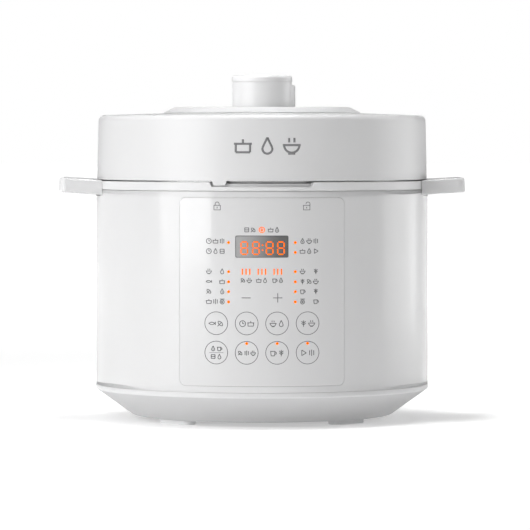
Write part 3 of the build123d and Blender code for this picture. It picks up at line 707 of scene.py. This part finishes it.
for row, z in enumerate(key_rows):
    for column, x in enumerate(key_columns):
        grey.append(arc(x, z, key_ring_r, 0, 360, 0.0005))
        names = key_labels[row][column]
        if names:
            size = 0.0058 if len(names) == 2 else 0.0046
            grey += label(names, x, z - 0.0002, size=size, pitch=size * 1.18, width=0.00062)
        else:
            grey += label(("flame", "cup"), x, z + 0.0034, size=0.0046, pitch=0.0053)
            grey += label(("box", "drop"), x, z - 0.0034, size=0.0046, pitch=0.0053)
            grey.append(line(x - 0.0060, z, x + 0.0060, z, 0.0003))
sign_z = 0.1111
sign_half = 0.0038
minus_x = level_columns[0]
plus_x = level_columns[2]
for x in (minus_x, plus_x):
    grey.append(line(x - sign_half, sign_z, x + sign_half, sign_z, 0.0006))
grey.append(line(plus_x, sign_z - sign_half, plus_x, sign_z + sign_half, 0.0006))
padlock_z = 0.1868
padlock_line = 0.0005
shackle_r = 0.0017
body_half = 0.0019
for x, opened in ((-0.0376, 0.0), (0.0376, 0.0011)):
    z = padlock_z
    for side in (-body_half, body_half):
        grey.append(line(x - 0.0028, z + side, x + 0.0028, z + side, padlock_line))
    for side in (-0.0027, 0.0027):
        grey.append(line(x + side, z - 0.0021, x + side, z + 0.0021, padlock_line))
    grey.append(line(x, z - 0.0007, x, z + 0.0007, 0.0006))
    grey.append(arc(x + opened, z + 0.0030, shackle_r, 0, 180, padlock_line))
    legs = (shackle_r,) if opened else (shackle_r, -shackle_r)
    for leg in legs:
        grey.append(line(x + opened + leg, z + body_half, x + opened + leg, z + 0.0031, padlock_line))
frame_line = round_rectangle(window_half, window_half_high, 0.0012) + [0, window_z]
frame_line = np.concatenate([frame_line, frame_line[:3]])
grey.append(strip(frame_line, 0.00045))
printed("panel_print", grey, print_grey)
bars = []
for x in level_columns:
    for step in (-1, 0, 1):
        bars.append(line(x + step * 0.0031, 0.1305, x + step * 0.0031, 0.1356, 0.0011))
bars += [arc(0.0, heading_z, 0.0023, 0, 360, 0.0007)] + picture("flame", 0.0, heading_z, 0.0026, 0.0006)
printed("panel_bars", bars, lit_orange)


# ---- Lid cover -----------------------------------------------------
# The moulded top casing of the lid: a nearly upright side, a rounded top edge and a slightly crowned
# top with a step for the plate in its middle. A small pointer hangs from its lower edge at the front.

side_low = (0.1440, 0.2116)
side_high = (0.1427, 0.2648)
cover = turned("lid_cover_skin", [
    (0.1417, 0.2092, 0.0003),
    (0.1442, 0.2092, 0.0005),
    (*side_low, 0.0010),
    (*side_high, 0.0052),
    (0.0870, 0.2667, 0.0004),
    (0.0812, 0.2667, 0.0002),
    (0.0812, 0.2641, 0.0003),
    (0.1401, 0.2621, 0.0030),
], steps=320)
lid_white = moulded("lid_satin_white", (0.68, 0.68, 0.684), (0.30, 0.36), grain=1500, depth=0.035,
                    shade=0.02, specular=0.55)
dress(cover, lid_white)
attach(cover, "lid")
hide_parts("lid_cover")
pointer_turn = np.radians(-14.4)
pointer_r = 0.14425
pointer_rows = np.array([
    (0.0066, 0.2100),
    (0.0065, 0.2092),
    (0.0050, 0.2059),
    (0.0046, 0.2055),
    (0.0040, 0.2054),
])
pointer_across = pointer_rows[:, :1] * np.linspace(-1, 1, 13)
rise = np.broadcast_to(pointer_rows[:, 1:], pointer_across.shape)
pointer_angle = pointer_turn + pointer_across / 0.1442
pointer_grid = np.stack([pointer_r * np.sin(pointer_angle), -pointer_r * np.cos(pointer_angle), rise], -1)
pointer = surface("lid_pointer", pointer_grid, closed=False)
thicken(pointer, wall=0.0024, edge=0.0004)
dress(pointer, lid_white)
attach(pointer, "lid")


# ---- Lid emblem ----------------------------------------------------
# A generic printed sign in mid grey on the front of the lid: a pot, a drop and a bowl in bold outline.

emblem_z = 0.2385


def cover_r(height):
    """Radius of the lid's side at a height: a straight line between its lower and upper corner."""
    share = (height - side_low[1]) / (side_high[1] - side_low[1])
    return side_low[0] + share * (side_high[0] - side_low[0])


emblem = []
for name, x in (("pot", -0.0160), ("drop", 0.0045), ("bowl", 0.0250)):
    emblem += picture(name, x, emblem_z, 0.0150, 0.0018)
emblem_grey = moulded("emblem_grey", (0.20, 0.20, 0.205), (0.28, 0.36), grain=3000, depth=0.02, shade=0.12)
printed("lid_emblem", emblem, emblem_grey, body="lid", radius=cover_r, lift=0.00008)


# ---- Lid top plate -------------------------------------------------
# The bevelled plateau set in the middle of the cover, pierced for the stud, the valve's pipe and the
# float.

top_plate = turned("lid_top_plate_skin", [
    (0.0050, 0.2694, 0.0002),
    (0.0756, 0.2694, 0.0010),
    (0.0815, 0.2668, 0.0002),
    (0.0869, 0.2668, 0.0004),
    (0.0766, 0.2719, 0.0030),
    (0.0050, 0.2719, 0.0003),
])
top_plate.modifiers.clear()
valve_x = 0.0136
valve_y = 0.0520
float_x = -0.0160
float_y = 0.0500
for hole_x, hole_y, hole_r in ((valve_x, valve_y, 0.0080), (float_x, float_y, 0.0046)):
    rod = rod_cutter(hole_r, 0.040)
    bmesh.ops.translate(rod, verts=rod.verts, vec=(hole_x, hole_y, 0.270))
    pierce(top_plate, rod)
top_plate.data.set_sharp_from_angle(angle=np.radians(50))
weighted(top_plate)
dress(top_plate, lid_white)
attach(top_plate, "lid")
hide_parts("lid_top_plate")


# ---- Knob ----------------------------------------------------------
# The round grip in the middle of the lid, held by a nut on the stud, and its pressed-on cap, both in a
# lighter white that is painted light, for the light the lid's top throws up onto them.

knob = turned("knob_skin", [
    (0.0040, 0.2719, 0.0002),
    (0.0258, 0.2719, 0.0006),
    (0.0261, 0.2939, 0.0002),
    (0.0230, 0.2938, 0.0002),
    (0.0230, 0.2759, 0.0010),
    (0.0040, 0.2759, 0.0002),
], steps=160)
knob_cap = turned("knob_cap_skin", [
    (0.0000, 0.2960, 0.0),
    (0.0200, 0.2960, 0.0003),
    (0.0200, 0.2900, 0.0003),
    (0.0229, 0.2900, 0.0003),
    (0.0229, 0.2940, 0.0001),
    (0.0264, 0.2940, 0.0003),
    (0.0263, 0.2994, 0.0024),
    (0.0150, 0.2996, 0.0500),
    (0.0000, 0.2996, 0.0),
], steps=160)
# Painted light: the knob and its cap get a lighter copy of the lid's white, for the light bounced up from
# the lid's top.
knob_painted_light_white = moulded("knob_painted_light_white", (0.78, 0.78, 0.784), (0.30, 0.36), grain=1500, depth=0.03, shade=0.02)
for piece, node in ((knob, "knob"), (knob_cap, "knob_cap")):
    dress(piece, knob_painted_light_white)
    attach(piece, "lid")
    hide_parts(node)


# ---- Steam release valve -------------------------------------------
# A weighted plastic cap that stands on the exhaust pipe and turns by the grip tab at its back.

valve = turned("steam_valve_skin", [
    (0.0066, 0.2727, 0.0003),
    (0.0160, 0.2727, 0.0006),
    (0.0159, 0.2920, 0.0020),
    (0.0000, 0.2920, 0.0),
    (0.0000, 0.2895, 0.0),
    (0.0135, 0.2895, 0.0010),
    (0.0135, 0.2752, 0.0010),
    (0.0066, 0.2752, 0.0003),
], steps=128, x=valve_x, y=valve_y)
tab_outline = round_rectangle(0.0040, 0.0030, 0.0012, side=24)
tab_z = 0.2860
tab_rows = []
for far, size in ((0.0140, 1.0), (0.0240, 0.92), (0.0247, 0.80), (0.0250, 0.55), (0.0250, 0.0)):
    x, z = (tab_outline * size).T
    tab_rows.append(np.stack([valve_x + x, np.full_like(x, valve_y + far), tab_z + z], -1))
grip = surface("steam_valve_grip", np.stack(tab_rows), wrap_columns=True, closed=False)
work = bmesh.new()
work.from_mesh(grip.data)
bmesh.ops.holes_fill(work, edges=work.edges, sides=200)
bmesh.ops.recalc_face_normals(work, faces=work.faces)
work.to_mesh(grip.data)
work.free()
weighted(grip)
for piece in (valve, grip):
    dress(piece, lid_white)
    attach(piece, "steam_valve")
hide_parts("steam_valve_cap")


# ---- Metals --------------------------------------------------------
# The pressed, turned and cast metal parts inside. Pressed and turned metal is brushed round the axis,
# castings have a fine sandy grain, the screws are zinc-plated and the inlet's blades tinned.

def brushed_group():
    """Node group for metal brushed round the vertical axis: noise on (radius, height) only, stretched
    along the turn, moves roughness and normal."""
    group = bpy.data.node_groups.new("turned_brushing", "ShaderNodeTree")
    face = group.interface
    for socket, value in (("Scale", 1500), ("Depth", 0.1), ("Rough low", 0.2), ("Rough high", 0.4)):
        face.new_socket(name=socket, in_out="INPUT", socket_type="NodeSocketFloat").default_value = value
    face.new_socket(name="Roughness", in_out="OUTPUT", socket_type="NodeSocketFloat")
    face.new_socket(name="Normal", in_out="OUTPUT", socket_type="NodeSocketVector")
    make, link = group.nodes.new, group.links.new
    inside, outside = make("NodeGroupInput"), make("NodeGroupOutput")
    place = make("ShaderNodeTexCoord")
    apart = make("ShaderNodeSeparateXYZ")
    flat = make("ShaderNodeCombineXYZ")
    radius = make("ShaderNodeVectorMath")
    radius.operation = "LENGTH"
    together = make("ShaderNodeCombineXYZ")
    noise = make("ShaderNodeTexNoise")
    noise.inputs["Detail"].default_value = 2
    bump = make("ShaderNodeBump")
    bump.inputs["Distance"].default_value = 0.0002
    rough = make("ShaderNodeMapRange")
    rough.inputs["From Min"].default_value = 0.3
    rough.inputs["From Max"].default_value = 0.7
    link(place.outputs["Object"], apart.inputs[0])
    link(apart.outputs["X"], flat.inputs["X"])
    link(apart.outputs["Y"], flat.inputs["Y"])
    link(flat.outputs[0], radius.inputs[0])
    link(radius.outputs["Value"], together.inputs["X"])
    link(apart.outputs["Z"], together.inputs["Y"])
    link(together.outputs[0], noise.inputs["Vector"])
    link(inside.outputs["Scale"], noise.inputs["Scale"])
    link(noise.outputs["Fac"], bump.inputs["Height"])
    link(inside.outputs["Depth"], bump.inputs["Strength"])
    link(noise.outputs["Fac"], rough.inputs["Value"])
    link(inside.outputs["Rough low"], rough.inputs["To Min"])
    link(inside.outputs["Rough high"], rough.inputs["To Max"])
    link(rough.outputs["Result"], outside.inputs["Roughness"])
    link(bump.outputs["Normal"], outside.inputs["Normal"])
    return group


turned_brushing = brushed_group()


def brushed(name, colour, rough, scale=1500, depth=0.12):
    """Bare metal brushed round the axis."""
    material = bpy.data.materials.new(name)
    material.use_nodes = True
    tree = material.node_tree
    shader = tree.nodes["Principled BSDF"]
    marks = tree.nodes.new("ShaderNodeGroup")
    marks.node_tree = turned_brushing
    marks.inputs["Scale"].default_value = scale
    marks.inputs["Depth"].default_value = depth
    marks.inputs["Rough low"].default_value = rough[0]
    marks.inputs["Rough high"].default_value = rough[1]
    tree.links.new(marks.outputs["Roughness"], shader.inputs["Roughness"])
    tree.links.new(marks.outputs["Normal"], shader.inputs["Normal"])
    shader.inputs["Base Color"].default_value = (*colour, 1)
    shader.inputs["Metallic"].default_value = 1.0
    return material


steel = brushed("pressed_steel", (0.60, 0.60, 0.605), (0.22, 0.36))
turned_steel = brushed("turned_steel", (0.66, 0.66, 0.665), (0.12, 0.22), scale=2600)
cast = moulded("cast_aluminium", (0.74, 0.74, 0.75), (0.34, 0.48), grain=1100, depth=0.20, metallic=1.0)
zinc = moulded("zinc_plate", (0.62, 0.62, 0.63), (0.25, 0.38), grain=1600, depth=0.10, metallic=1.0)
tinned = moulded("tinned_brass", (0.74, 0.68, 0.52), (0.22, 0.32), grain=1600, depth=0.08, metallic=1.0)
for name in ("outer_pot", "pressure_lid", "sensor_bracket", "steam_valve_weight"):
    dress(nodes[name], steel)
for name in ("lid_stud", "lid_nut", "exhaust_pipe", "float_guide", "float_pin", "heater_posts",
             "sensor_spring", "touch_springs", "lid_magnet"):
    dress(nodes[name], turned_steel)
for name in ("heating_plate", "heating_element", "sensor_cap"):
    dress(nodes[name], cast)
for name in ("base_screws", "bottom_plate_screws", "outer_pot_screws", "lid_screws", "inlet_screws"):
    dress(nodes[name], zinc)
dress(nodes["inlet_pins"], tinned)
dress(nodes["inner_lid_plate"], brushed("spun_aluminium", (0.80, 0.80, 0.81), (0.18, 0.30), scale=2200))


# ---- Removable pot -------------------------------------------------
# A pressed aluminium pot with a flanged rim: brushed outside and coated black inside.

pot = turned("inner_pot_skin", [
    (0.0000, 0.0620, 0.0),
    (0.1100, 0.0620, 0.0140),
    (0.1100, 0.2034, 0.0010),
    (0.1170, 0.2034, 0.0009),
    (0.1170, 0.2054, 0.0009),
    (0.1080, 0.2054, 0.0018),
    (0.1080, 0.0640, 0.0120),
    (0.0000, 0.0640, 0.0),
], steps=256)
pot_outside = brushed("pot_outside", (0.70, 0.70, 0.71), (0.20, 0.32), scale=1800)
non_stick = moulded("non_stick_coat", (0.045, 0.045, 0.048), (0.26, 0.40), grain=900, depth=0.12, shade=0.2)
pot.data.materials.append(pot_outside)
pot.data.materials.append(non_stick)
coat_r = 0.1092
coat_low = 0.0632
faces_where(pot, lambda x, y, z: (np.hypot(x, y) < coat_r) & (z > coat_low))
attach(pot, "pot")
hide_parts("inner_pot")


# ---- Seals ---------------------------------------------------------
# The sealing ring, the grommet that carries the inner lid and the float's washer, all pale silicone.

silicone = moulded("pale_silicone", (0.78, 0.78, 0.76), (0.42, 0.55), grain=700, depth=0.08, shade=0.06)
shader = silicone.node_tree.nodes["Principled BSDF"]
shader.inputs["Subsurface Weight"].default_value = 0.2
shader.inputs["Subsurface Radius"].default_value = (0.004, 0.004, 0.004)
for name in ("sealing_ring", "centre_grommet", "float_seal"):
    dress(nodes[name], silicone)


# ---- Rear fittings -------------------------------------------------
# At the back a clear cup slides on a bracket under the drain spout, and below it a black three-blade
# mains inlet is screwed into a flat boss. The carriers and switches inside share its plastics.

black = moulded("black_plastic", (0.022, 0.022, 0.023), (0.34, 0.48), grain=1500, depth=0.16, shade=0.2)
fitting_grey = moulded("fitting_grey", (0.72, 0.72, 0.73), (0.34, 0.44), grain=1500, depth=0.08)
for name in ("inlet_housing", "relay", "transformer", "display_module", "lid_switch", "pressure_switch"):
    dress(nodes[name], black)
for name in ("panel_carrier", "cup_bracket", "drain_spout", "anti_clog_shield"):
    dress(nodes[name], fitting_grey)
clear = moulded("clear_plastic", (0.88, 0.91, 0.93), (0.08, 0.14), grain=400, depth=0.01, shade=0.03)
shader = clear.node_tree.nodes["Principled BSDF"]
shader.inputs["Transmission Weight"].default_value = 0.85
shader.inputs["IOR"].default_value = 1.49
dress(nodes["water_cup"], clear)


# ---- Electrics -----------------------------------------------------
# Circuit boards, wires and guides inside the casing, mostly out of sight.

board_green = moulded("solder_mask", (0.03, 0.16, 0.06), (0.28, 0.42), grain=1200, depth=0.15, shade=0.3)
woven_sleeve = moulded("woven_sleeve", (0.62, 0.58, 0.50), (0.60, 0.75), grain=1500, depth=0.4, shade=0.2)
for name in ("control_board", "power_board"):
    dress(nodes[name], board_green)
for name in ("mains_leads", "heater_leads", "ribbon_cable", "thermal_fuse"):
    dress(nodes[name], woven_sleeve)
dress(nodes["light_guides"], fitting_grey)


# ---- Studio --------------------------------------------------------
# A plain white floor that gives a little light of its own, more so far off, and white surroundings. A
# broad sun-like light high on the left, a large soft panel in front on the left, a strip on the right,
# a panel and a narrow lid light overhead. A long-lens camera just under the lid's top.

def aimed(lamp, place, aim):
    """Puts a lamp or camera at a place, facing a point."""
    lamp.location = place
    lamp.rotation_euler = (Vector(aim) - Vector(place)).to_track_quat("-Z", "Y").to_euler()
    bpy.context.scene.collection.objects.link(lamp)


def soft_panel(name, azimuth, distance, height, width, tall, radiance, spread=180):
    """Rectangular soft light at an azimuth from the front, in degrees towards the right. Its power is
    radiance x pi x area, so that it looks equally bright at any size. A spread under 180 degrees keeps
    all of the power in a narrower beam."""
    data = bpy.data.lights.new(name, "AREA")
    data.shape = "RECTANGLE"
    data.size = width
    data.size_y = tall
    data.energy = radiance * np.pi * width * tall
    data.spread = np.radians(spread)
    turn = np.radians(azimuth)
    place = (distance * np.sin(turn), -distance * np.cos(turn), height)
    aimed(bpy.data.objects.new(name, data), place, (0, 0, 0.15))


soft_panel("left_panel", -54, distance=4.3, height=1.2, width=3.2, tall=3.0, radiance=4.1)
soft_panel("right_strip", 110, distance=1.6, height=0.5, width=1.25, tall=1.4, radiance=1.6)
soft_panel("overhead_panel", 0, distance=0.02, height=2.6, width=2.2, tall=2.2, radiance=1.6)
soft_panel("lid_top_light", 0, distance=0.02, height=1.6, width=0.3, tall=0.3, radiance=4.4, spread=60)
sun_data = bpy.data.lights.new("high_left_light", "SUN")
sun_data.energy = 0.75
sun_data.angle = np.radians(50)
aimed(bpy.data.objects.new("high_left_light", sun_data), (-2.0, -0.75, 3.4), (0, 0, 0))
reach = 30.0
floor_corners = [(-reach, -reach, 0), (reach, -reach, 0), (reach, reach, 0), (-reach, reach, 0)]
floor_mesh = bpy.data.meshes.new("floor")
floor_mesh.from_pydata(floor_corners, [], [(0, 1, 2, 3)])
floor = bpy.data.objects.new("floor", floor_mesh)
bpy.context.scene.collection.objects.link(floor)
floor_white = moulded("floor_white", (0.97, 0.97, 0.97), (0.75, 0.85), grain=60, depth=0.01, shade=0.01,
                      specular=0.1)
tree = floor_white.node_tree
place = tree.nodes.new("ShaderNodeTexCoord")
away = tree.nodes.new("ShaderNodeVectorMath")
away.operation = "LENGTH"
lit = tree.nodes.new("ShaderNodeMapRange")
lit.interpolation_type = "SMOOTHSTEP"
for socket, value in (("From Min", 0.3), ("From Max", 3.0), ("To Min", 0.27), ("To Max", 0.90)):
    lit.inputs[socket].default_value = value
tree.links.new(place.outputs["Object"], away.inputs[0])
tree.links.new(away.outputs["Value"], lit.inputs["Value"])
tree.links.new(lit.outputs["Result"], tree.nodes["Principled BSDF"].inputs["Emission Color"])
tree.nodes["Principled BSDF"].inputs["Emission Strength"].default_value = 1.0
floor_mesh.materials.append(floor_white)
world = bpy.data.worlds.new("studio")
bpy.context.scene.world = world
world.use_nodes = True
tree = world.node_tree
ray = tree.nodes.new("ShaderNodeLightPath")
bright = tree.nodes.new("ShaderNodeMapRange")
bright.inputs["To Min"].default_value = 0.05
bright.inputs["To Max"].default_value = 1.0
tree.links.new(ray.outputs["Is Camera Ray"], bright.inputs["Value"])
tree.links.new(bright.outputs["Result"], tree.nodes["Background"].inputs["Strength"])
tree.nodes["Background"].inputs["Color"].default_value = (1, 1, 1, 1)
bpy.context.scene.view_settings.view_transform = "Standard"

camera_data = bpy.data.cameras.new("camera")
camera_data.lens = 270
camera_data.sensor_width = 36
camera_data.clip_end = 200
camera = bpy.data.objects.new("camera", camera_data)
aimed(camera, (0.0026, -3.478, 0.248), (0.0026, 0.0, 0.134))
bpy.context.scene.camera = camera
